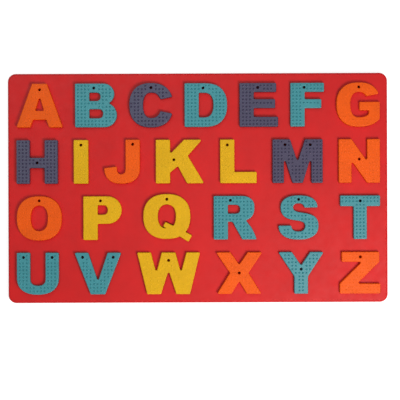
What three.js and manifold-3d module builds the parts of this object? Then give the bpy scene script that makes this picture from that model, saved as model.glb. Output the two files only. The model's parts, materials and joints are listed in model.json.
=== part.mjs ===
// A silicone alphabet puzzle: one moulded tray with a pocket for every letter, and 26 loose letters.
// Sizes are in millimetres and angles in degrees. +X runs along the rows, +Y from the last row to the
// first and +Z up. The origin is the middle of the tray's underside.

import * as THREE from "three";
import { mergeVertices } from "three/addons/utils/BufferGeometryUtils.js";
import Module from "manifold-3d";

const wasm = await Module();
wasm.setup();

// Tray
const TRAY_LENGTH = 378;
const TRAY_WIDTH = 228.4;
const TRAY_THICKNESS = 9;
const TRAY_CORNER_RADIUS = 8;
const TRAY_EDGE_RADIUS = 1.5;
const POCKET_DEPTH = 4.5;
const POCKET_CLEARANCE = 0.5;

// Rows, first to last. Each spreads its letters over the tray's length, and together they fill its width.
const ROWS = ["ABCDEFG", "HIJKLMN", "OPQRST", "UVWXYZ"];
const LEFT_MARGIN = 9.3;
const RIGHT_MARGIN = 8.3;
const TOP_MARGIN = 10.4;
const BOTTOM_MARGIN = 8.9;
const ROW_GAP = 12.6;
const LAST_ROW_DROP = 2; // how much shorter the last row's letters are

// What all letters share. They are drawn at one height, and then stretched to their row's.
const DRAWN_HEIGHT = 43.4;
const LETTER_THICKNESS = 9;
const LETTER_EDGE_RADIUS = 0.8;
const VENT_DIAMETER = 2.8;
const OVERSHOOT = 0.4; // how far round letters pass the flat ones, above and below
const STEM = 14.2; // uprights of letters with one stem
const TWIN_STEM = 13.1; // uprights of letters with two, and of T
const BAR = 8.9; // arms of letters with three, and bars beside small counters
const BOWL_SIDE = 13.7; // round strokes at their sides
const BOWL_BAR = 9.4; // round strokes at their top and bottom
const SLANT = 13.6; // slanted strokes, measured level

// Each letter's own sizes: x from its left edge, heights from its foot, drops from its head
const SIZES = {
  A: { width: 46, apex: 14.6, barHeight: 7.6, counterWidth: 8.7, counterDrop: 12.3, ventDrop: 5.9 },
  B: { width: 41.6, upperWidth: 39, lobeRise: 3.9, lobeOverlap: 1.7, counterRise: 0.7, waist: 8.1,
    ventX: 18.7 },
  C: { width: 42.7, middle: 21.6, mouth: 16.6, innerMouth: 11.6, innerTip: 31 },
  D: { width: 42.4, bowlStart: 20.5, counterRound: 8.7, ventX: 18.4 },
  E: { width: 38.3, topArm: 36.5, middleArm: 35.4, middleRise: 0.8, bottomBar: 9.8, ventX: 18 },
  F: { width: 33.4, middleArm: 30.7, armGap: 7.3, ventX: 13.5 },
  G: { width: 43, middle: 22.3, tipX: 42.1, tipDrop: 11.5, innerTipX: 29.7, innerTipDrop: 4.4,
    barX: 22.8, barRise: 2.6, bar: 8.4, spurX: 32.1, spurRise: 3.3, bowlRise: 7.8 },
  H: { width: 40.9, barHeight: 15.6, bar: 10.3 },
  I: { width: 14.4, ventDrop: 5 },
  J: { width: 35.4, bowlHeight: 15.2, tipX: 12.6, tipRise: 2.2, hollowHeight: 5.6, ventDrop: 4.6 },
  K: { width: 48, armRoot: 29.2, legRoot: 10.7, crotchX: 31.8, crotchHeight: 27.4, armWidth: 17.9, armEnd: 46,
    legX: 21.8, legHeight: 17.1, legWidth: 17.1, ventX: 17.9, ventHeight: 23.5 },
  L: { width: 36.2, bar: 11.2, ventDrop: 5.4 },
  M: { width: 49.8, leg: 11.3, shoulder: 17.5, crotchDrop: 16.2, notchHeight: 20.8, foot: 10.2, ventX: 12.4,
    ventDrop: 5.4 },
  N: { width: 40.9, stem: 12.7, diagonal: 21.4, ventHeight: 23.5 },
  O: { width: 44.6 },
  P: { width: 38, bowlDrop: 27.4, counterDrop: 18.3, ventX: 17 },
  Q: { width: 46.8, oversize: 1.3, side: 14.4, bar: 10.4, tailStartX: 20.7, tailStartHeight: 14.8,
    tailStartWidth: 5, tailEndX: 46.6, tailEndHeight: 0.3, tailEndWidth: 7.4, tailRoom: 2 },
  R: { width: 42.8, bowlWidth: 40.6, bowlStart: 27.5, bowlDrop: 11.4, waistX: 31.9, waistDrop: 24.4,
    counterDrop: 17.6, counterEnd: 26.2, crotchDrop: 25.7, crotchFlat: 2.4, crotchBend: 2.6,
    legRun: 4.3, legDrop: 4.3, legBendX: 38.5, legBendHeight: 11.1, foot: 14.4, ventX: 16.6 },
  S: { width: 39.8, top: 20, tip: 38.9, left: 2.1, upperBowl: 12.3, lowerBowl: 14.1, bar: 8.1,
    innerLeft: 14.5, innerRight: 26.5, innerTip: 25.6, innerFoot: 12.7 },
  T: { width: 39.5, bar: 10.7 },
  U: { width: 41.5, bowlHeight: 17.3, hollowHeight: 6.9, bar: 9.3, ventDrop: 4.9 },
  V: { width: 46.4, vertexHeight: 13.2, foot: 14.3, ventX: 8, ventDrop: 4.7 },
  W: { width: 62.5, notchHeight: 21.8, apexHeight: 24.5, footX: 10, ventDrop: 8.2 },
  X: { width: 46.2, topSlant: 14.5, footInset: 1, upperNotch: 30.5, lowerNotch: 13.2, waist: 18.4 },
  Y: { width: 45.3, notchHeight: 29.4, forkHeight: 18, ventHeight: 25.7 },
  Z: { width: 40.2, topX: 1.9, topEnd: 39.2, bar: 10.4, upperSlantX: 22, lowerSlantX: 17.3, ventX: 20.4 },
};

// Colours
const TRAY_COLOUR = 0xc6282c;
const LETTER_COLOURS = [
  { letters: "AGJNOXZ", colour: 0xf0691a },
  { letters: "BDFRSTUVY", colour: 0x2a9da8 },
  { letters: "CEHM", colour: 0x474c6a },
  { letters: "IKLPQW", colour: 0xdcab26 },
];
const ROUGHNESS = 0.55;

// How finely curves are divided
const FACET_LENGTH = 3.2;
const FACET_TURN = 18;
const BOWL_EXPONENT = 2.35; // 2 would draw bowls as ellipses, and more makes them squarer
const CIRCLE = 2;
const FULL_TURN = 360;
const EDGE_STEPS = 2;
const VENT_SIDES = 10;
const SAME_POINT = 0.01;
const CUT_MARGIN = 2; // how far a cutting solid runs past what it cuts

const POCKET_FLOOR = TRAY_THICKNESS - POCKET_DEPTH;

// Outlines

const point = (x, y) => new THREE.Vector2(x, y);

// Points from pairs of coordinates.
const corners = (...pairs) => pairs.map(([x, y]) => point(x, y));

// One closed outline from runs of points, without the repeats where two runs meet.
function outline(...runs) {
  const points = runs.flat();
  return points.filter((p, i) => p.distanceTo(points.at(i - 1)) > SAME_POINT);
}

const bent = (value, exponent) => Math.sign(value) * Math.abs(value) ** (2 / exponent);

// Points along a bowl about (x, y), with half-axes rx and ry, from one angle to another.
function bowl(x, y, rx, ry, from, to, exponent = BOWL_EXPONENT) {
  const start = THREE.MathUtils.degToRad(from);
  const turn = THREE.MathUtils.degToRad(to - from);
  const length = (Math.abs(turn) * (rx + ry)) / 2;
  const steps = Math.ceil(Math.max(length / FACET_LENGTH, Math.abs(to - from) / FACET_TURN));
  return Array.from({ length: steps + 1 }, (_, i) => {
    const angle = start + (turn * i) / steps;
    return point(x + rx * bent(Math.cos(angle), exponent), y + ry * bent(Math.sin(angle), exponent));
  });
}

// The angle at which a bowl of half-height ry stands this far above its middle.
const angleAt = (rise, ry) => THREE.MathUtils.radToDeg(Math.asin((rise / ry) ** (BOWL_EXPONENT / 2)));

// The half-width of a bowl of half-height ry that passes through the point (run, rise) from its middle.
const reachTo = (run, rise, ry) => run / (1 - (rise / ry) ** BOWL_EXPONENT) ** (1 / BOWL_EXPONENT);

// Points along a cubic curve between two points, each with its own control point.
function sweep(from, fromControl, toControl, to) {
  const curve = new THREE.CubicBezierCurve(from, fromControl, toControl, to);
  return curve.getSpacedPoints(Math.ceil(curve.getLength() / FACET_LENGTH) + 1);
}

// A counter that is square on the left and round on the right, with a round end this deep.
function halfRoundCounter(left, bottom, right, top, depth = (top - bottom) / 2) {
  const roundEnd = bowl(right - depth, (bottom + top) / 2, depth, (top - bottom) / 2, -90, 90);
  return outline(corners([left, bottom]), roundEnd, corners([left, top]));
}

// Where two circles cross on their right-hand side.
function rightCrossing(centre, radius, otherCentre, otherRadius) {
  const along = otherCentre.clone().sub(centre);
  const distance = along.length();
  const foot = (radius ** 2 - otherRadius ** 2 + distance ** 2) / (2 * distance);
  const aside = Math.sqrt(radius ** 2 - foot ** 2);
  along.normalize();
  return point(centre.x + along.x * foot + along.y * aside, centre.y + along.y * foot - along.x * aside);
}

const bearing = (from, to) => THREE.MathUtils.radToDeg(Math.atan2(to.y - from.y, to.x - from.x));

// A straight stroke that goes evenly from one width to another.
function tapered(start, end, startWidth, endWidth) {
  const across = end.clone().sub(start).normalize().rotateAround(point(0, 0), Math.PI / 2);
  const edge = (p, offset) => p.clone().addScaledVector(across, offset);
  return [
    edge(start, -startWidth / 2), edge(end, -endWidth / 2),
    edge(end, endWidth / 2), edge(start, startWidth / 2),
  ];
}

// A letter drawn as one stroke; vents are the middles of its small through holes.
const letter = (drawn, vents, counters = []) => ({ strokes: [{ outline: drawn, counters }], vents });

// Letters, drawn on a foot line at y = 0 with flat letters reaching cap

const DRAW = {
  A({ width, apex, barHeight, counterWidth, counterDrop, ventDrop }, cap) {
    const middle = width / 2;
    const lean = (width - apex) / 2 / cap;
    const inside = SLANT + lean * barHeight;
    const counterFoot = barHeight + BAR;
    const counter = corners(
      [middle - counterWidth / 2, counterFoot],
      [middle + counterWidth / 2, counterFoot],
      [middle, cap - counterDrop],
    );
    const drawn = corners(
      [0, 0], [SLANT, 0], [inside, barHeight], [width - inside, barHeight],
      [width - SLANT, 0], [width, 0], [middle + apex / 2, cap], [middle - apex / 2, cap],
    );
    return letter(drawn, [point(middle, cap - ventDrop)], [counter]);
  },

  B({ width, upperWidth, lobeRise, lobeOverlap, counterRise, waist, ventX }, cap) {
    const lower = (cap + lobeOverlap + lobeRise) / 4;
    const upper = (cap + lobeOverlap - lobeRise) / 4;
    const lowerMiddle = point(width - lower, lower);
    const upperMiddle = point(upperWidth - upper, cap - upper);
    const notch = rightCrossing(lowerMiddle, lower, upperMiddle, upper);
    const drawn = outline(
      corners([0, 0]),
      bowl(...lowerMiddle, lower, lower, -90, bearing(lowerMiddle, notch), CIRCLE),
      bowl(...upperMiddle, upper, upper, bearing(upperMiddle, notch), 90, CIRCLE),
      corners([0, cap]),
    );
    const space = cap - 2 * BAR - waist;
    const lowerTop = BAR + (space + counterRise) / 2;
    const counters = [
      halfRoundCounter(STEM, BAR, width - BOWL_SIDE, lowerTop),
      halfRoundCounter(STEM, lowerTop + waist, upperWidth - BOWL_SIDE, cap - BAR),
    ];
    return letter(drawn, [point(ventX, cap - BAR / 2)], counters);
  },

  C({ width, middle, mouth, innerMouth, innerTip }, cap) {
    const centre = cap / 2;
    const high = centre + OVERSHOOT;
    const innerHigh = high - BOWL_BAR;
    const outerReach = reachTo(width - middle, mouth / 2, high);
    const innerReach = reachTo(innerTip - middle, innerMouth / 2, innerHigh);
    const tip = angleAt(mouth / 2, high);
    const inside = angleAt(innerMouth / 2, innerHigh);
    const drawn = outline(
      bowl(middle, centre, outerReach, high, tip, 90),
      bowl(middle, centre, middle, high, 90, 270),
      bowl(middle, centre, outerReach, high, -90, -tip),
      bowl(middle, centre, innerReach, innerHigh, -inside, -90),
      bowl(middle, centre, middle - BOWL_SIDE, innerHigh, 270, 90),
      bowl(middle, centre, innerReach, innerHigh, 90, inside),
    );
    return letter(drawn, [point(middle, centre + high - BOWL_BAR / 2)]);
  },

  D({ width, bowlStart, counterRound, ventX }, cap) {
    const side = bowl(bowlStart, cap / 2, width - bowlStart, cap / 2, -90, 90);
    const drawn = outline(corners([0, 0]), side, corners([0, cap]));
    const counter = halfRoundCounter(STEM, BOWL_BAR, width - BOWL_SIDE, cap - BOWL_BAR, counterRound);
    return letter(drawn, [point(ventX, cap - BOWL_BAR / 2)], [counter]);
  },

  E({ width, topArm, middleArm, middleRise, bottomBar, ventX }, cap) {
    const low = (bottomBar + cap) / 2 - BAR + middleRise;
    const high = low + BAR;
    const drawn = corners(
      [0, 0], [width, 0], [width, bottomBar], [STEM, bottomBar], [STEM, low], [middleArm, low],
      [middleArm, high], [STEM, high], [STEM, cap - BAR], [topArm, cap - BAR], [topArm, cap], [0, cap],
    );
    return letter(drawn, [point(ventX, cap - BAR / 2)]);
  },

  F({ width, middleArm, armGap, ventX }, cap) {
    const high = cap - BAR - armGap;
    const low = high - BAR;
    const drawn = corners(
      [0, 0], [STEM, 0], [STEM, low], [middleArm, low], [middleArm, high], [STEM, high],
      [STEM, cap - BAR], [width, cap - BAR], [width, cap], [0, cap],
    );
    return letter(drawn, [point(ventX, cap - BAR / 2)]);
  },

  G(size, cap) {
    const { width, middle, tipX, tipDrop, innerTipX, innerTipDrop, barX, barRise, bar } = size;
    const { spurX, spurRise, bowlRise } = size;
    const centre = cap / 2;
    const high = centre + OVERSHOOT;
    const innerHigh = high - BOWL_BAR;
    const tip = high - tipDrop;
    const innerTip = innerHigh - innerTipDrop;
    const side = high - bowlRise;
    const spur = innerHigh - spurRise;
    const tipReach = reachTo(tipX - middle, tip, high);
    const innerTipReach = reachTo(innerTipX - middle, innerTip, innerHigh);
    const sideReach = reachTo(width - middle, side, high);
    const spurReach = reachTo(spurX - middle, spur, innerHigh);
    const barTop = centre + barRise;
    const drawn = outline(
      bowl(middle, centre, tipReach, high, angleAt(tip, high), 90),
      bowl(middle, centre, middle, high, 90, 270),
      bowl(middle, centre, sideReach, high, -90, -angleAt(side, high)),
      corners([width, barTop], [barX, barTop], [barX, barTop - bar], [spurX, barTop - bar]),
      bowl(middle, centre, spurReach, innerHigh, -angleAt(spur, innerHigh), -90),
      bowl(middle, centre, middle - BOWL_SIDE, innerHigh, 270, 90),
      bowl(middle, centre, innerTipReach, innerHigh, 90, angleAt(innerTip, innerHigh)),
    );
    return letter(drawn, [point(middle, centre + high - BOWL_BAR / 2)]);
  },

  H({ width, barHeight, bar }, cap) {
    const right = width - TWIN_STEM;
    const barTop = barHeight + bar;
    const drawn = corners(
      [0, 0], [TWIN_STEM, 0], [TWIN_STEM, barHeight], [right, barHeight], [right, 0], [width, 0],
      [width, cap], [right, cap], [right, barTop], [TWIN_STEM, barTop], [TWIN_STEM, cap], [0, cap],
    );
    return letter(drawn, [point(width / 2, barHeight + bar / 2)]);
  },

  I({ width, ventDrop }, cap) {
    return letter(corners([0, 0], [width, 0], [width, cap], [0, cap]), [point(width / 2, cap - ventDrop)]);
  },

  J({ width, bowlHeight, tipX, tipRise, hollowHeight, ventDrop }, cap) {
    const inside = width - STEM;
    const middle = (tipX + inside) / 2;
    const high = bowlHeight + OVERSHOOT;
    const hollowTop = BOWL_BAR - OVERSHOOT + hollowHeight;
    const drawn = outline(
      corners([width, cap], [inside, cap]),
      bowl(middle, hollowTop, inside - middle, hollowHeight, 0, -180),
      corners([tipX, hollowTop + tipRise]),
      bowl(middle, bowlHeight, middle, high, 180, 270),
      bowl(middle, bowlHeight, width - middle, high, -90, 0),
    );
    return letter(drawn, [point(width - STEM / 2, cap - ventDrop)]);
  },

  K(size, cap) {
    const { width, armRoot, legRoot, crotchX, crotchHeight, armWidth, armEnd } = size;
    const { legX, legHeight, legWidth, ventX, ventHeight } = size;
    const drawn = corners(
      [0, 0], [STEM, 0], [STEM, legRoot], [legX, legHeight], [width - legWidth, 0], [width, 0],
      [crotchX, crotchHeight], [armEnd, cap], [armEnd - armWidth, cap], [STEM, armRoot],
      [STEM, cap], [0, cap],
    );
    return letter(drawn, [point(ventX, ventHeight)]);
  },

  L({ width, bar, ventDrop }, cap) {
    const drawn = corners([0, 0], [width, 0], [width, bar], [STEM, bar], [STEM, cap], [0, cap]);
    return letter(drawn, [point(STEM / 2, cap - ventDrop)]);
  },

  M({ width, leg, shoulder, crotchDrop, notchHeight, foot, ventX, ventDrop }, cap) {
    const middle = width / 2;
    const drawn = corners(
      [0, 0], [leg, 0], [leg, cap - crotchDrop], [middle - foot / 2, 0], [middle + foot / 2, 0],
      [width - leg, cap - crotchDrop], [width - leg, 0], [width, 0], [width, cap], [width - shoulder, cap],
      [middle, notchHeight], [shoulder, cap], [0, cap],
    );
    return letter(drawn, [point(ventX, cap - ventDrop), point(width - ventX, cap - ventDrop)]);
  },

  N({ width, stem, diagonal, ventHeight }, cap) {
    const right = width - stem;
    const drawn = corners(
      [0, 0], [stem, 0], [stem, cap - diagonal], [right, 0], [width, 0],
      [width, cap], [right, cap], [right, diagonal], [stem, cap], [0, cap],
    );
    return letter(drawn, [point(width / 2, ventHeight)]);
  },

  O({ width }, cap) {
    const middle = width / 2;
    const centre = cap / 2;
    const high = centre + OVERSHOOT;
    const drawn = outline(bowl(middle, centre, middle, high, 0, FULL_TURN));
    const counter = outline(bowl(middle, centre, middle - BOWL_SIDE, high - BOWL_BAR, 0, FULL_TURN));
    return letter(drawn, [point(middle, centre + high - BOWL_BAR / 2)], [counter]);
  },

  P({ width, bowlDrop, counterDrop, ventX }, cap) {
    const round = bowlDrop / 2;
    const side = bowl(width - round, cap - round, round, round, -90, 90, CIRCLE);
    const drawn = outline(corners([0, 0], [STEM, 0], [STEM, cap - bowlDrop]), side, corners([0, cap]));
    const counter = halfRoundCounter(STEM, cap - counterDrop, width - BOWL_SIDE, cap - BAR);
    return letter(drawn, [point(ventX, cap - BAR / 2)], [counter]);
  },

  // The pocket is wider than the tail at its start, so that no thin sliver of tray stands beside it.
  Q(size, cap) {
    const { width, oversize, side, bar, tailStartWidth, tailEndWidth, tailRoom } = size;
    const { tailStartX, tailStartHeight, tailEndX, tailEndHeight } = size;
    const middle = width / 2;
    const centre = (cap + oversize) / 2;
    const ring = {
      outline: outline(bowl(middle, centre, middle, centre, 0, FULL_TURN)),
      counters: [outline(bowl(middle, centre, middle - side, centre - bar, 0, FULL_TURN))],
    };
    const start = point(tailStartX, tailStartHeight);
    const end = point(tailEndX, tailEndHeight);
    const tail = { outline: tapered(start, end, tailStartWidth, tailEndWidth), counters: [] };
    const roomyTail = tapered(start, end, tailStartWidth + tailRoom, tailEndWidth);
    return {
      strokes: [ring, tail],
      pocketStrokes: [ring, { outline: roomyTail, counters: [] }],
      vents: [point(middle, cap + oversize - bar / 2)],
    };
  },

  R(size, cap) {
    const { width, bowlWidth, bowlStart, bowlDrop, waistX, waistDrop, counterDrop, counterEnd } = size;
    const { crotchDrop, crotchFlat, crotchBend, legRun, legDrop, legBendX, legBendHeight } = size;
    const { foot, ventX } = size;
    const centre = cap - bowlDrop;
    const bowlRun = bowlWidth - bowlStart;
    const waistRun = waistX - bowlStart;
    const lowHigh = reachTo(waistDrop - bowlDrop, waistRun, bowlRun);
    const crotch = point(STEM + crotchFlat, cap - crotchDrop);
    const crotchCorner = point(crotch.x + crotchBend, crotch.y);
    const legTop = point(crotch.x + legRun, crotch.y - legDrop);
    const legCorner = point(legBendX, legBendHeight);
    const drawn = outline(
      corners([0, 0], [STEM, 0], [STEM, crotch.y]),
      sweep(crotch, crotchCorner, crotchCorner, legTop),
      corners([width - foot, 0]),
      sweep(point(width, 0), legCorner, legCorner, point(waistX, cap - waistDrop)),
      bowl(bowlStart, centre, bowlRun, lowHigh, angleAt(waistRun, bowlRun) - 90, 0),
      bowl(bowlStart, centre, bowlRun, bowlDrop, 0, 90),
      corners([0, cap]),
    );
    const counter = halfRoundCounter(STEM, cap - counterDrop, counterEnd, cap - BAR);
    return letter(drawn, [point(ventX, cap - BAR / 2)], [counter]);
  },

  S(size, cap) {
    const { width, top, tip, left, upperBowl, lowerBowl, bar } = size;
    const { innerLeft, innerRight, innerTip, innerFoot } = size;
    const upper = cap + OVERSHOOT - upperBowl;
    const lower = lowerBowl - OVERSHOOT;
    const centre = (upper + lower) / 2;
    const innerUpper = upperBowl - bar;
    const innerLower = lowerBowl - bar;
    const drawn = outline(
      bowl(top, upper, tip - top, upperBowl, 0, 90),
      bowl(top, upper, top - left, upperBowl, 90, 180),
      sweep(point(left, upper), point(left, lower), point(innerRight, centre), point(innerRight, lower)),
      bowl(top, lower, innerRight - top, innerLower, 0, -90),
      bowl(top, lower, top - innerFoot, innerLower, 270, 180),
      bowl(top, lower, top, lowerBowl, 180, 270),
      bowl(top, lower, width - top, lowerBowl, -90, 0),
      sweep(point(width, lower), point(width, upper), point(innerLeft, centre), point(innerLeft, upper)),
      bowl(top, upper, top - innerLeft, innerUpper, 180, 90),
      bowl(top, upper, innerTip - top, innerUpper, 90, 0),
    );
    return letter(drawn, [point(top, cap + OVERSHOOT - bar / 2)]);
  },

  T({ width, bar }, cap) {
    const left = (width - TWIN_STEM) / 2;
    const right = left + TWIN_STEM;
    const drawn = corners(
      [left, 0], [right, 0], [right, cap - bar], [width, cap - bar], [width, cap], [0, cap],
      [0, cap - bar], [left, cap - bar],
    );
    return letter(drawn, [point(width / 2, cap - bar / 2)]);
  },

  U({ width, bowlHeight, hollowHeight, bar, ventDrop }, cap) {
    const middle = width / 2;
    const hollowTop = bar - OVERSHOOT + hollowHeight;
    const drawn = outline(
      bowl(middle, bowlHeight, middle, bowlHeight + OVERSHOOT, -180, 0),
      corners([width, cap], [width - TWIN_STEM, cap]),
      bowl(middle, hollowTop, middle - TWIN_STEM, hollowHeight, 0, -180),
      corners([TWIN_STEM, cap], [0, cap]),
    );
    const vents = [point(TWIN_STEM / 2, cap - ventDrop), point(width - TWIN_STEM / 2, cap - ventDrop)];
    return letter(drawn, vents);
  },

  V({ width, vertexHeight, foot, ventX, ventDrop }, cap) {
    const middle = width / 2;
    const drawn = corners(
      [middle - foot / 2, 0], [middle + foot / 2, 0], [width, cap], [width - SLANT, cap],
      [middle, vertexHeight], [SLANT, cap], [0, cap],
    );
    return letter(drawn, [point(ventX, cap - ventDrop), point(width - ventX, cap - ventDrop)]);
  },

  W({ width, notchHeight, apexHeight, footX, ventDrop }, cap) {
    const middle = width / 2;
    const notchX = (SLANT + middle - SLANT / 2) / 2;
    const drawn = corners(
      [footX, 0], [footX + SLANT, 0], [middle, apexHeight], [width - footX - SLANT, 0], [width - footX, 0],
      [width, cap], [width - SLANT, cap], [width - notchX, notchHeight], [middle + SLANT / 2, cap],
      [middle - SLANT / 2, cap], [notchX, notchHeight], [SLANT, cap], [0, cap],
    );
    return letter(drawn, [point(middle, cap - ventDrop)]);
  },

  X({ width, topSlant, footInset, upperNotch, lowerNotch, waist }, cap) {
    const middle = width / 2;
    const waistHeight = (upperNotch + lowerNotch) / 2;
    const drawn = corners(
      [footInset, 0], [footInset + topSlant, 0], [middle, lowerNotch], [width - footInset - topSlant, 0],
      [width - footInset, 0], [middle + waist / 2, waistHeight], [width, cap], [width - topSlant, cap],
      [middle, upperNotch], [topSlant, cap], [0, cap], [middle - waist / 2, waistHeight],
    );
    return letter(drawn, [point(middle, waistHeight)]);
  },

  Y({ width, notchHeight, forkHeight, ventHeight }, cap) {
    const middle = width / 2;
    const left = middle - SLANT / 2;
    const right = middle + SLANT / 2;
    const drawn = corners(
      [left, 0], [right, 0], [right, forkHeight], [width, cap], [width - SLANT, cap],
      [middle, notchHeight], [SLANT, cap], [0, cap], [left, forkHeight],
    );
    return letter(drawn, [point(middle, ventHeight)]);
  },

  Z({ width, topX, topEnd, bar, upperSlantX, lowerSlantX, ventX }, cap) {
    const drawn = corners(
      [0, 0], [width, 0], [width, bar], [lowerSlantX, bar], [topEnd, cap - bar], [topEnd, cap],
      [topX, cap], [topX, cap - bar], [upperSlantX, cap - bar], [0, bar],
    );
    return letter(drawn, [point(ventX, cap - bar / 2)]);
  },
};

// Solids

// A closed solid from a three.js geometry.
function solid(geometry) {
  geometry.deleteAttribute("normal");
  geometry.deleteAttribute("uv");
  const merged = mergeVertices(geometry);
  return new wasm.Manifold(new wasm.Mesh({
    numProp: 3,
    vertProperties: new Float32Array(merged.attributes.position.array),
    triVerts: new Uint32Array(merged.index.array),
  }));
}

// A three.js geometry from a closed solid.
function geometryOf(body) {
  const { vertProperties, triVerts } = body.getMesh();
  const geometry = new THREE.BufferGeometry();
  geometry.setAttribute("position", new THREE.BufferAttribute(vertProperties, 3));
  geometry.setIndex(new THREE.BufferAttribute(triVerts, 1));
  geometry.computeVertexNormals();
  return geometry;
}

const joined = (bodies) => bodies.reduce((all, body) => all.add(body));

function shapeOf({ outline: drawn, counters }) {
  const shape = new THREE.Shape(drawn);
  shape.holes = counters.map((counter) => new THREE.Path(counter));
  return shape;
}

// A stroke from z = bottom to z = top whose edges at both ends are rounded inside its outline.
function roundedSlab(shape, bottom, top, edgeRadius, edgeSteps) {
  const geometry = new THREE.ExtrudeGeometry(shape, {
    depth: top - bottom - 2 * edgeRadius,
    bevelSize: edgeRadius,
    bevelThickness: edgeRadius,
    bevelOffset: -edgeRadius,
    bevelSegments: edgeSteps,
  });
  return solid(geometry.translate(0, 0, bottom + edgeRadius));
}

// A stroke grown all round by a clearance, from z = bottom to z = top.
function grownSlab(shape, bottom, top, clearance) {
  const geometry = new THREE.ExtrudeGeometry(shape, {
    depth: top - bottom,
    bevelSize: 0,
    bevelThickness: 0,
    bevelOffset: clearance,
    bevelSegments: 0,
  });
  return solid(geometry.translate(0, 0, bottom));
}

// A letter with a rounded upper edge, a flat foot and its vents, standing on z = 0.
function letterBody({ strokes, vents }, size) {
  const below = -2 * LETTER_EDGE_RADIUS;
  const slabs = strokes.map((stroke) =>
    roundedSlab(shapeOf(stroke), below, LETTER_THICKNESS, LETTER_EDGE_RADIUS, EDGE_STEPS));
  const foot = new THREE.BoxGeometry(4 * size.x, 4 * size.y, 4 * LETTER_THICKNESS);
  foot.translate(0, 0, -2 * LETTER_THICKNESS);
  const drills = vents.map(({ x, y }) => {
    const drill = new THREE.CylinderGeometry(
      VENT_DIAMETER / 2, VENT_DIAMETER / 2, LETTER_THICKNESS + 2 * CUT_MARGIN, VENT_SIDES);
    return solid(drill.rotateX(Math.PI / 2).translate(x, y, LETTER_THICKNESS / 2));
  });
  return joined(slabs).subtract(joined([solid(foot), ...drills]));
}

// The space that a letter's pocket takes out of the tray.
function pocketBody({ pocketStrokes }, place) {
  const top = TRAY_THICKNESS + CUT_MARGIN;
  const slabs = pocketStrokes.map((stroke) =>
    grownSlab(shapeOf(stroke), POCKET_FLOOR, top, POCKET_CLEARANCE));
  return joined(slabs).translate([place.x, place.y, 0]);
}

function trayBody(pockets) {
  const across = TRAY_LENGTH / 2 - TRAY_CORNER_RADIUS;
  const along = TRAY_WIDTH / 2 - TRAY_CORNER_RADIUS;
  const round = TRAY_CORNER_RADIUS;
  const rim = outline(
    bowl(across, along, round, round, 0, 90, CIRCLE),
    bowl(-across, along, round, round, 90, 180, CIRCLE),
    bowl(-across, -along, round, round, 180, 270, CIRCLE),
    bowl(across, -along, round, round, -90, 0, CIRCLE),
  );
  return roundedSlab(new THREE.Shape(rim), 0, TRAY_THICKNESS, TRAY_EDGE_RADIUS, EDGE_STEPS + 1)
    .subtract(joined(pockets));
}

// Layout

const total = (values) => values.reduce((sum, value) => sum + value, 0);

// A letter's drawing, stretched to this height.
function stretched({ strokes, vents, pocketStrokes = strokes }, height) {
  const stretch = (p) => point(p.x, (p.y * height) / DRAWN_HEIGHT);
  const stretchStroke = ({ outline: drawn, counters }) => ({
    outline: drawn.map(stretch),
    counters: counters.map((counter) => counter.map(stretch)),
  });
  return {
    strokes: strokes.map(stretchStroke),
    pocketStrokes: pocketStrokes.map(stretchStroke),
    vents: vents.map(stretch),
  };
}

const gapsHeight = TOP_MARGIN + ROW_GAP * (ROWS.length - 1) + BOTTOM_MARGIN;
const rowHeight = (TRAY_WIDTH - gapsHeight + LAST_ROW_DROP) / ROWS.length;

// Letters stand side by side from margin to margin, each at half its row's height.
function placedRow(letters, index) {
  const last = index === ROWS.length - 1;
  const height = last ? rowHeight - LAST_ROW_DROP : rowHeight;
  const items = [...letters].map((name) => {
    const drawing = stretched(DRAW[name](SIZES[name], DRAWN_HEIGHT), height);
    const box = new THREE.Box2().setFromPoints(drawing.strokes.flatMap((stroke) => stroke.outline));
    return { name, drawing, box, size: box.getSize(point(0, 0)) };
  });
  const lettersLength = total(items.map(({ size }) => size.x));
  const gap = (TRAY_LENGTH - LEFT_MARGIN - RIGHT_MARGIN - lettersLength) / (items.length - 1);
  const middle = TRAY_WIDTH / 2 - TOP_MARGIN - index * (rowHeight + ROW_GAP) - height / 2;
  let left = LEFT_MARGIN - TRAY_LENGTH / 2;
  return items.map((item) => {
    const { min, max } = item.box;
    const place = point(left - min.x, middle - (min.y + max.y) / 2);
    left += item.size.x + gap;
    return { ...item, place };
  });
}

const placed = ROWS.flatMap(placedRow);

// Assembly

function piece(name, body, colour) {
  const material = new THREE.MeshStandardMaterial({ color: colour, roughness: ROUGHNESS, metalness: 0 });
  const mesh = new THREE.Mesh(geometryOf(body), material);
  mesh.name = name;
  return mesh;
}

const puzzle = new THREE.Group();

const pockets = placed.map(({ drawing, place }) => pocketBody(drawing, place));
puzzle.add(piece("tray", trayBody(pockets), TRAY_COLOUR));

for (const { name, drawing, size, place } of placed) {
  const { colour } = LETTER_COLOURS.find(({ letters }) => letters.includes(name));
  const mesh = piece(`letter_${name.toLowerCase()}`, letterBody(drawing, size), colour);
  mesh.position.set(place.x, place.y, POCKET_FLOOR);
  puzzle.add(mesh);
}

export default puzzle;
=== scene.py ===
"""Dresses the silicone alphabet puzzle: a satin red tray and loose letters topped with small raised dots."""

import json
import math

import bpy
from mathutils import Matrix, Vector
from mathutils.geometry import delaunay_2d_cdt


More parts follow.
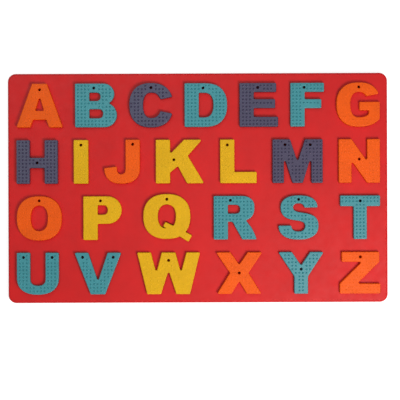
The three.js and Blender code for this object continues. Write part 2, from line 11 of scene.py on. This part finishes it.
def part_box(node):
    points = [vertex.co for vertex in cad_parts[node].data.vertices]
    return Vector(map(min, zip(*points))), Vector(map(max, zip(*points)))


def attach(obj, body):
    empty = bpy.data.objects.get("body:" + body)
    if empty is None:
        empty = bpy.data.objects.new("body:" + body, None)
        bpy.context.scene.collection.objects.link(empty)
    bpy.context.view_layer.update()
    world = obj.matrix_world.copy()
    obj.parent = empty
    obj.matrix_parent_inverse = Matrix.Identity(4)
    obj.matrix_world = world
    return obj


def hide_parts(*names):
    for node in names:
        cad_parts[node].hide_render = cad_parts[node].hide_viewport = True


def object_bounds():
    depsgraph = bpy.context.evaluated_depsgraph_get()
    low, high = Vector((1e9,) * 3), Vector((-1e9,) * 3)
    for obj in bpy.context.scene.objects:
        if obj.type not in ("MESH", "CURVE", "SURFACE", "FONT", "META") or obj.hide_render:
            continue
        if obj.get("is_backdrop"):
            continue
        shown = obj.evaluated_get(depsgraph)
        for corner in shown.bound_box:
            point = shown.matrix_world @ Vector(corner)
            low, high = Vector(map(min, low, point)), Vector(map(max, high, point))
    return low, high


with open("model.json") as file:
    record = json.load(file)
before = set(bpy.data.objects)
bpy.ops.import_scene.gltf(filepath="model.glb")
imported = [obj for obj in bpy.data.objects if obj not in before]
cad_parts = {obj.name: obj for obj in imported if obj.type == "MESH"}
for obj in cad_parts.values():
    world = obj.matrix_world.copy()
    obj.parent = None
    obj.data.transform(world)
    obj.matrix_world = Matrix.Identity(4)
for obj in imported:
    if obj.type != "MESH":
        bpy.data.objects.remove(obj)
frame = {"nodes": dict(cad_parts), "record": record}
cad_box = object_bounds()

MM = 0.001

# Letters
LETTER_EDGE = 0.8 * MM  # radius of the upper edge
LETTER_FOOT = 0.4 * MM  # radius of the lower edge
LETTER_CORNER = 1.0 * MM  # radius of the outline's corners
VENT_EDGE = 0.45 * MM
VENT_FOOT = 0.2 * MM
VENT_LARGEST = 4 * MM  # a hole of up to this size is a vent

# Dots on the letters, in a square grid about each letter's middle
DOT_PITCH = 3.5 * MM
DOT_RADIUS = 1.15 * MM
DOT_HEIGHTS = {  # bold on the dark letters and faint on the bright ones
    "letter_teal": 1.3 * MM,
    "letter_navy": 1.3 * MM,
    "letter_orange": 0.15 * MM,
    "letter_yellow": 0.15 * MM,
}
DOT_FROM_EDGE = 2.0 * MM  # least distance from a dot's middle to the outline
DOT_FROM_VENT = 3.3 * MM  # least distance from a dot's middle to a vent's middle

# Tray
ROOMY_POCKET = "letter_q"  # wider beside the tail, so that no thin wedge of tray stands there
TRAY_CORNER = 8 * MM
TRAY_EDGE = 2.4 * MM
POCKET_RIM = 0.12 * MM  # radius where a pocket's wall meets the top
POCKET_GAP = 0.06 * MM  # between the soft wall of a pocket and its letter
POCKET_SWELL = 0.38 * MM  # how far the wall of the roomy pocket stands in towards its letter
POCKET_BED = 0.4 * MM  # radius where a pocket's wall meets its floor
POCKET_INNER_CORNER = 1.5 * MM  # radii of the roomy pocket's corners
POCKET_OUTER_CORNER = 0.5 * MM

# How finely round shapes are divided
ARC_STEP = math.radians(7.5)
SHARP_TURN = math.radians(28)  # facets of a curve turn less than this, and true corners more
STRAIGHT_TURN = math.radians(0.5)
SHARP_SHARE = 0.85  # most of an edge that a corner may take from a facet beside it
EDGE_STEPS = 5
FOOT_STEPS = 3
VENT_SIDES = 24
DOT_SIDES = 14
DOT_RINGS = (1, 0.78, 0.55, 0.32, 0.12)  # shares of the dot's radius
WELD = 0.002 * MM
FILL_SLACK = 1e-9
FILL_WITH_HOLES = 2  # the way of filling loops that leaves loops within them open
UP = math.radians(90)  # the tilt of a normal that points straight up


# Loops

def face_loops(node, height):
    """The loops round a node's level faces at a height, with the solid on their left from above."""
    mesh = frame["nodes"][node].data
    places = {}

    def corner(index):
        place = mesh.vertices[index].co
        key = (round(place.x / WELD), round(place.y / WELD))
        places[key] = place.xy
        return key

    edges = set()
    for face in mesh.polygons:
        if all(abs(mesh.vertices[i].co.z - height) < WELD for i in face.vertices):
            keys = [corner(i) for i in face.vertices]
            edges.update(zip(keys, keys[1:] + keys[:1]))
    following = {end: start for start, end in edges if (end, start) not in edges}
    loops = []
    while following:
        here, loop = next(iter(following)), []
        while here in following:
            loop.append(places[here])
            here = following.pop(here)
        loops.append(loop)
    return sorted(loops, key=lambda loop: (loop[0].x, loop[0].y))


def signed_area(loop):
    """The loop's area, which is negative where the loop runs clockwise."""
    return sum(a.cross(b) for a, b in zip(loop, loop[1:] + loop[:1])) / 2


def turn_between(arrive, leave):
    """The angle from one direction to another, which is positive to the left."""
    return math.atan2(arrive.cross(leave), arrive.dot(leave))


def neighbours(items):
    """Each item of a closed run, with the one before it and the one after it."""
    return zip(items[-1:] + items[:-1], items, items[1:] + items[:1])


def bend_reaches(lengths, turns, convex, concave):
    """How far from its corner each bend starts: sharp corners come first, and facets share what is left."""
    sharp = [abs(turn) > SHARP_TURN for turn in turns]
    reaches = []
    for i, turn in enumerate(turns):
        wanted = abs(math.tan(turn / 2)) * (convex if turn > 0 else concave)
        before = lengths[i - 1] * (SHARP_SHARE if turn > 0 and not sharp[i - 1] else 1 / 2)
        after = lengths[i] * (SHARP_SHARE if turn > 0 and not sharp[i + 1 - len(turns)] else 1 / 2)
        reaches.append(min(wanted, before, after))
    for i, length in enumerate(lengths):
        j = i + 1 - len(turns)
        if not sharp[i]:
            before = lengths[i - 1] - reaches[i - 1] if sharp[i - 1] else lengths[i - 1] / 2
            after = length - reaches[j] if sharp[j] else length / 2
            reaches[i] = min(before, after)
    return reaches


def rounded(loop, convex, concave):
    """The loop as points with outward normals: corners get these radii and facets flow together."""
    loop = [
        here
        for before, here, after in neighbours(loop)
        if abs(turn_between(here - before, after - here)) > STRAIGHT_TURN
    ]
    bends = [(here - before, here, after - here) for before, here, after in neighbours(loop)]
    turns = [turn_between(arrive, leave) for arrive, _, leave in bends]
    reaches = bend_reaches([leave.length for _, _, leave in bends], turns, convex, concave)
    pairs = []
    for (arrive, here, _), turn, reach in zip(bends, turns, reaches):
        radius = reach / math.tan(turn / 2)
        ahead = arrive.normalized()
        out = Vector((ahead.y, -ahead.x))
        centre = here - ahead * reach - out * radius
        steps = math.ceil(abs(turn) / ARC_STEP)
        for step in range(steps + 1):
            normal = out.copy()
            normal.rotate(Matrix.Rotation(turn * step / steps, 2))
            pairs.append((centre + normal * radius, normal))
    return [pair for last, pair, _ in neighbours(pairs) if (pair[0] - last[0]).length > WELD]


def circle(centre, radius, sides, way=1):
    """A circle as points with outward normals; a way of -1 runs clockwise, round a hole."""
    normals = [Vector((way, 0)) for _ in range(sides)]
    for side, normal in enumerate(normals):
        normal.rotate(Matrix.Rotation(way * math.tau * side / sides, 2))
    return [(centre + normal * radius * way, normal) for normal in normals]


def rounded_rectangle(low, high, radius):
    """The outline of a rectangle with rounded corners, as points with outward normals."""
    corners = [low, Vector((high.x, low.y)), high, Vector((low.x, high.y))]
    return rounded(corners, radius, radius)


# Surfaces

class Skin:
    """The points, normals and faces of one closed surface."""

    def __init__(self):
        self.points = []
        self.normals = []
        self.faces = []

    def point(self, place, normal):
        """Adds a point and returns its number."""
        self.points.append(place)
        self.normals.append(normal)
        return len(self.points) - 1

    def ring(self, loop, inset, height, tilt):
        """Adds the loop, drawn in by an inset, with its normals tilted up; returns its points' numbers."""
        return [
            self.point((*(place - out * inset), height), (*(out * math.cos(tilt)), math.sin(tilt)))
            for place, out in loop
        ]

    def wall(self, loop, profile):
        """Adds a wall along a profile of insets, heights and tilts; returns its first and last rings."""
        rings = [self.ring(loop, *step) for step in profile]
        for lower, upper in zip(rings, rings[1:]):
            for i, j in zip(range(-1, len(loop)), range(len(loop))):
                self.faces.append((lower[i], lower[j], upper[j], upper[i]))
        return rings[0], rings[-1]

    def cap(self, rings, facing=1):
        """Fills the level area between rings, with holes where a ring lies in another."""
        numbers = [number for ring in rings for number in ring]
        flat = [Vector(self.points[number][:2]) for number in numbers]
        outlines = []
        for ring in rings:
            first = sum(len(outline) for outline in outlines)
            outlines.append(list(range(first, first + len(ring))))
        drawn = delaunay_2d_cdt(flat, [], outlines, FILL_WITH_HOLES, FILL_SLACK)
        places, _, triangles, origins = drawn[:4]
        corners = []
        for place, sources in zip(places, origins):
            if sources:
                corners.append(numbers[sources[0]])
            else:
                corners.append(self.point((*place, self.points[numbers[0]][2]), (0, 0, facing)))
        for triangle in triangles:
            self.faces.append([corners[i] for i in triangle][::facing])

    def peak(self, ring, place):
        """Closes a ring with one point above its middle."""
        top = self.point(place, (0, 0, 1))
        for i, j in zip(range(-1, len(ring)), range(len(ring))):
            self.faces.append((ring[i], ring[j], top))


def foot_profile(bottom, radius):
    """A rounded lower edge, from the level underside to the upright wall."""
    tilts = [UP * (step / FOOT_STEPS - 1) for step in range(FOOT_STEPS + 1)]
    return [(radius * (1 - math.cos(a)), bottom + radius * (1 + math.sin(a)), a) for a in tilts]


def bed_profile(floor, radius):
    """A hollow lower edge, from a level floor to the upright wall."""
    tilts = [UP * (1 - step / FOOT_STEPS) for step in range(FOOT_STEPS + 1)]
    return [(radius * (math.cos(a) - 1), floor + radius * (1 - math.sin(a)), a) for a in tilts]


def edge_profile(top, radius):
    """A rounded upper edge, from the upright wall to the level top."""
    tilts = [UP * step / EDGE_STEPS for step in range(EDGE_STEPS + 1)]
    return [(radius * (1 - math.cos(a)), top - radius * (1 - math.sin(a)), a) for a in tilts]


def dot_profile(base, height):
    """A soft dome: level at its rim, steepest half way in and level again at its middle."""
    steepest = height * math.pi / (2 * DOT_RADIUS)
    return [
        (
            DOT_RADIUS * (1 - share),
            base + height * (1 + math.cos(math.pi * share)) / 2,
            UP - math.atan(steepest * math.sin(math.pi * share)),
        )
        for share in DOT_RINGS
    ]


# Letters

def distance_to(loop, place):
    """The distance from a place to the nearest point on a closed run of straight edges."""
    nearest = math.inf
    for a, b in zip(loop, loop[1:] + loop[:1]):
        along = b - a
        share = min(1, max(0, (place - a).dot(along) / along.length_squared))
        nearest = min(nearest, (a + along * share - place).length)
    return nearest


def inside(loop, place):
    """Whether a closed run of straight edges goes round a place."""
    crossings = 0
    for a, b in zip(loop, loop[1:] + loop[:1]):
        if (a.y > place.y) != (b.y > place.y):
            crossings += a.x + (b.x - a.x) * (place.y - a.y) / (b.y - a.y) > place.x
    return crossings % 2 == 1


def grid_line(low, high):
    """Evenly pitched places about the middle of a stretch, clear of its ends."""
    gaps = math.floor((high - low - 2 * DOT_FROM_EDGE) / DOT_PITCH)
    first = (low + high - gaps * DOT_PITCH) / 2
    return [first + DOT_PITCH * step for step in range(gaps + 1)]


def dot_places(low, high, shape, vents):
    """Where a letter's dots stand, from its outline and counters and the middles of its vents."""
    for y in grid_line(low.y, high.y):
        for x in grid_line(low.x, high.x):
            place = Vector((x, y))
            on_letter = sum(inside(loop, place) for loop in shape) == 1
            clear_of_edge = min(distance_to(loop, place) for loop in shape) >= DOT_FROM_EDGE
            clear_of_vents = all((place - vent).length >= DOT_FROM_VENT for vent in vents)
            if on_letter and clear_of_edge and clear_of_vents:
                yield place


def extent(loop):
    """The longer side of the box round a loop."""
    across = max(p.x for p in loop) - min(p.x for p in loop)
    along = max(p.y for p in loop) - min(p.y for p in loop)
    return max(across, along)


def middle_of(loop):
    """The mean of a loop's points."""
    return sum(loop, Vector((0, 0))) / len(loop)


def letter_skin(node, dot_height):
    """A letter with a soft upper edge, its vents and a grid of raised dots."""
    low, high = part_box(node)
    loops = face_loops(node, low.z)
    holes = [loop for loop in loops if extent(loop) < VENT_LARGEST]
    shape = [loop for loop in loops if extent(loop) >= VENT_LARGEST]
    vents = [middle_of(hole) for hole in holes]
    skin = Skin()
    body = foot_profile(low.z, LETTER_FOOT) + edge_profile(high.z, LETTER_EDGE)
    bore = foot_profile(low.z, VENT_FOOT) + edge_profile(high.z, VENT_EDGE)
    walls = [skin.wall(rounded(loop, LETTER_CORNER, LETTER_CORNER), body) for loop in shape]
    for hole, vent in zip(holes, vents):
        walls.append(skin.wall(circle(vent, (hole[0] - vent).length, VENT_SIDES, way=-1), bore))
    bottoms = [bottom for bottom, _ in walls]
    tops = [top for _, top in walls]
    for place in dot_places(low, high, shape, vents):
        rim, crown = skin.wall(circle(place, DOT_RADIUS, DOT_SIDES), dot_profile(high.z, dot_height))
        skin.peak(crown, (*place, high.z + dot_height))
        tops.append(rim)
    skin.cap(bottoms, facing=-1)
    skin.cap(tops)
    return skin


# Tray

def pocket_outlines(node, floor):
    """A pocket's outline and islands, each with how far the tray keeps back from it."""
    low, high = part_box(node)
    if node == ROOMY_POCKET:
        for loop in face_loops("tray", floor):
            middle = middle_of(loop)
            if low.x < middle.x < high.x and low.y < middle.y < high.y:
                yield rounded(loop, POCKET_OUTER_CORNER, POCKET_INNER_CORNER), -POCKET_SWELL
    else:
        for loop in face_loops(node, low.z):
            if extent(loop) >= VENT_LARGEST:
                outline = rounded(loop, LETTER_CORNER, LETTER_CORNER)
                yield [(point, -normal) for point, normal in reversed(outline)], POCKET_GAP


def tray_skin(letters):
    """The tray, with soft edges and a pocket for every letter."""
    low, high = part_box("tray")
    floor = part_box("letter_a")[0].z
    skin = Skin()
    outline = rounded_rectangle(low.xy, high.xy, TRAY_CORNER)
    side = foot_profile(low.z, TRAY_EDGE) + edge_profile(high.z, TRAY_EDGE)
    underside, rim = skin.wall(outline, side)
    pocket_wall = bed_profile(floor, POCKET_BED) + edge_profile(high.z, POCKET_RIM)
    beds, mouths, islands = [], [], []
    for node in letters:
        for outline, back in pocket_outlines(node, floor):
            wall = [(inset + back, height, tilt) for inset, height, tilt in pocket_wall]
            bed, mouth = skin.wall(outline, wall)
            beds.append(bed)
            if signed_area([point for point, _ in outline]) > 0:
                islands.append(mouth)
            else:
                mouths.append(mouth)
    skin.cap([underside], facing=-1)
    skin.cap([rim, *mouths])
    skin.cap(beds)
    for island in islands:
        skin.cap([island])
    return skin


# Materials

SILICONE_IOR = 1.41
NOISE_LOW = 0.3  # most of a noise's values lie between these
NOISE_HIGH = 0.7
MOTTLE_SCALE = 55
MOTTLE_DETAIL = 4
MOTTLE_DARK = 0.93  # shares of the written colour
MOTTLE_LIGHT = 1.05
HAZE_SCALE = 140
HAZE_DETAIL = 3
HAZE_DEPTH = 0.05  # how far the roughness goes up and down
PORE_SCALE = 2200
PORE_DETAIL = 2
PORE_DEPTH = 0.05 * MM


def noise(nodes, links, scale, detail):
    """A noise that is fixed to its piece; returns the socket with its value."""
    place = nodes.new("ShaderNodeTexCoord")
    texture = nodes.new("ShaderNodeTexNoise")
    texture.inputs["Scale"].default_value = scale
    texture.inputs["Detail"].default_value = detail
    links.new(place.outputs["Object"], texture.inputs["Vector"])
    return texture.outputs["Fac"]


def silicone(name, colour, roughness, grain, sheen):
    """Moulded silicone: faint mottling in its colour and gloss, and a fine moulded grain."""
    material = bpy.data.materials.new(name)
    material.use_nodes = True
    nodes = material.node_tree.nodes
    links = material.node_tree.links
    shader = nodes["Principled BSDF"]
    shader.inputs["IOR"].default_value = SILICONE_IOR
    shader.inputs["Specular IOR Level"].default_value = sheen

    tint = nodes.new("ShaderNodeValToRGB")
    dark, light = tint.color_ramp.elements
    dark.position = NOISE_LOW
    dark.color = (*(MOTTLE_DARK * channel for channel in colour), 1)
    light.position = NOISE_HIGH
    light.color = (*(MOTTLE_LIGHT * channel for channel in colour), 1)
    links.new(noise(nodes, links, MOTTLE_SCALE, MOTTLE_DETAIL), tint.inputs["Fac"])
    links.new(tint.outputs["Color"], shader.inputs["Base Color"])

    gloss = nodes.new("ShaderNodeMapRange")
    gloss.inputs["From Min"].default_value = NOISE_LOW
    gloss.inputs["From Max"].default_value = NOISE_HIGH
    gloss.inputs["To Min"].default_value = roughness - HAZE_DEPTH
    gloss.inputs["To Max"].default_value = roughness + HAZE_DEPTH
    links.new(noise(nodes, links, HAZE_SCALE, HAZE_DETAIL), gloss.inputs["Value"])
    links.new(gloss.outputs["Result"], shader.inputs["Roughness"])

    bump = nodes.new("ShaderNodeBump")
    bump.inputs["Strength"].default_value = grain
    bump.inputs["Distance"].default_value = PORE_DEPTH
    links.new(noise(nodes, links, PORE_SCALE, PORE_DETAIL), bump.inputs["Height"])
    links.new(bump.outputs["Normal"], shader.inputs["Normal"])
    return material


def linear(red, green, blue):
    """A colour given as 0 to 255 on screen, as the shader's linear values."""
    shares = [channel / 255 for channel in (red, green, blue)]
    return [s / 12.92 if s <= 0.04045 else ((s + 0.055) / 1.055) ** 2.4 for s in shares]


MATERIALS = {
    "tray_red": silicone("tray_red", linear(199, 17, 19), roughness=0.52, grain=0.2, sheen=0.4),
    "letter_orange": silicone("letter_orange", linear(231, 90, 4), roughness=0.48, grain=0.1, sheen=0.25),
    "letter_teal": silicone("letter_teal", linear(58, 140, 149), roughness=0.34, grain=0.2, sheen=0.5),
    "letter_navy": silicone("letter_navy", linear(63, 60, 86), roughness=0.34, grain=0.2, sheen=0.5),
    "letter_yellow": silicone("letter_yellow", linear(219, 173, 12), roughness=0.48, grain=0.1, sheen=0.25),
}


# Assembly

SLOTS = {part["node"]: part["material_slot"] for part in frame["record"]["subparts"]}
LETTERS = [node for node in SLOTS if node != "tray"]


def add_piece(node, skin):
    """Stands a finished surface in a node's place, on the node's body and in its material."""
    slot = SLOTS[node]
    mesh = bpy.data.meshes.new(f"{node}_moulding")
    mesh.from_pydata(skin.points, [], skin.faces, shade_flat=False)
    mesh.normals_split_custom_set_from_vertices(skin.normals)
    mesh.materials.append(MATERIALS[slot])
    piece = bpy.data.objects.new(mesh.name, mesh)
    bpy.context.scene.collection.objects.link(piece)
    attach(piece, node)
    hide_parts(node)


add_piece("tray", tray_skin(LETTERS))
for node in LETTERS:
    add_piece(node, letter_skin(node, DOT_HEIGHTS[SLOTS[node]]))


# Floor, light and camera

FLOOR_SIZE = 60  # metres, so that the floor reaches the horizon
FLOOR_DROP = 0.1 * MM
FLOOR_GREY = 0.8
FLOOR_ROUGHNESS = 0.9
FLOOR_GLOW = 0.65  # turns the floor white where it is seen, but for the shadow
SURROUND = 0.25  # strength of the light from all round
FIELD = 0.398  # metres of the tray's top that the picture's width takes in
CAMERA_HEIGHT = 1.1
CAMERA_PLACE = (2.15 * MM, -12.04 * MM)
CAMERA_ROLL = math.radians(-0.2)


def seen_or_mirrored(nodes, links):
    """One for rays from the camera and mirrored or transmitted ones, and nought for bounced light."""
    path = nodes.new("ShaderNodeLightPath")
    mirrored = nodes.new("ShaderNodeMath")
    mirrored.operation = "ADD"
    links.new(path.outputs["Is Glossy Ray"], mirrored.inputs[0])
    links.new(path.outputs["Is Transmission Ray"], mirrored.inputs[1])
    seen = nodes.new("ShaderNodeMath")
    seen.operation = "ADD"
    seen.use_clamp = True
    links.new(path.outputs["Is Camera Ray"], seen.inputs[0])
    links.new(mirrored.outputs["Value"], seen.inputs[1])
    return seen.outputs["Value"]


def add_floor():
    """A pale floor just under the tray, which is seen as white and keeps the tray's shadow."""
    half = FLOOR_SIZE / 2
    mesh = bpy.data.meshes.new("floor")
    corners = [
        (-half, -half, -FLOOR_DROP),
        (half, -half, -FLOOR_DROP),
        (half, half, -FLOOR_DROP),
        (-half, half, -FLOOR_DROP),
    ]
    mesh.from_pydata(corners, [], [(0, 1, 2, 3)])
    material = bpy.data.materials.new("floor")
    material.use_nodes = True
    nodes = material.node_tree.nodes
    links = material.node_tree.links
    shader = nodes["Principled BSDF"]
    shader.inputs["Base Color"].default_value = (FLOOR_GREY, FLOOR_GREY, FLOOR_GREY, 1)
    shader.inputs["Roughness"].default_value = FLOOR_ROUGHNESS
    shader.inputs["Specular IOR Level"].default_value = 0
    shader.inputs["Emission Color"].default_value = (1, 1, 1, 1)
    glow = nodes.new("ShaderNodeMath")
    glow.operation = "MULTIPLY"
    glow.inputs[1].default_value = FLOOR_GLOW
    links.new(seen_or_mirrored(nodes, links), glow.inputs[0])
    links.new(glow.outputs["Value"], shader.inputs["Emission Strength"])
    mesh.materials.append(material)
    floor = bpy.data.objects.new("floor", mesh)
    bpy.context.scene.collection.objects.link(floor)
    floor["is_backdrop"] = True


def add_lamp(name, place, size, power, colour):
    """A soft square lamp that faces the middle of the tray."""
    light = bpy.data.lights.new(name, "AREA")
    light.shape = "SQUARE"
    light.size = size
    light.energy = power
    light.color = colour
    lamp = bpy.data.objects.new(name, light)
    lamp.location = place
    lamp.rotation_euler = (-Vector(place)).to_track_quat("-Z", "Y").to_euler()
    bpy.context.scene.collection.objects.link(lamp)


def add_world(strength):
    """An even white surround, which lights the object at a strength and is seen as full white."""
    world = bpy.data.worlds.new("studio")
    world.use_nodes = True
    nodes = world.node_tree.nodes
    links = world.node_tree.links
    background = nodes["Background"]
    background.inputs["Color"].default_value = (1, 1, 1, 1)
    whiteness = nodes.new("ShaderNodeMath")
    whiteness.operation = "MULTIPLY_ADD"
    whiteness.inputs[1].default_value = 1 - strength
    whiteness.inputs[2].default_value = strength
    links.new(seen_or_mirrored(nodes, links), whiteness.inputs[0])
    links.new(whiteness.outputs["Value"], background.inputs["Strength"])
    bpy.context.scene.world = world


def add_camera():
    """A camera that looks straight down, with a slight roll."""
    camera = bpy.data.cameras.new("camera")
    _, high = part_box("tray")
    camera.lens = camera.sensor_width * (CAMERA_HEIGHT - high.z) / FIELD
    viewer = bpy.data.objects.new("camera", camera)
    viewer.location = (*CAMERA_PLACE, CAMERA_HEIGHT)
    viewer.rotation_euler = (0, 0, CAMERA_ROLL)
    bpy.context.scene.collection.objects.link(viewer)
    bpy.context.scene.camera = viewer


add_floor()
add_world(SURROUND)
add_lamp("key", place=(0.31, -0.33, 0.68), size=0.32, power=5, colour=(1, 0.78, 0.75))
add_lamp("fill", place=(-0.25, 0.42, 0.9), size=0.7, power=2.9, colour=(0.75, 1, 1))
add_camera()
bpy.context.scene.view_settings.view_transform = "Standard"

boxes = {"cad": cad_box, "visual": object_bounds()}
{name: [list(corner) for corner in box] for name, box in boxes.items()}
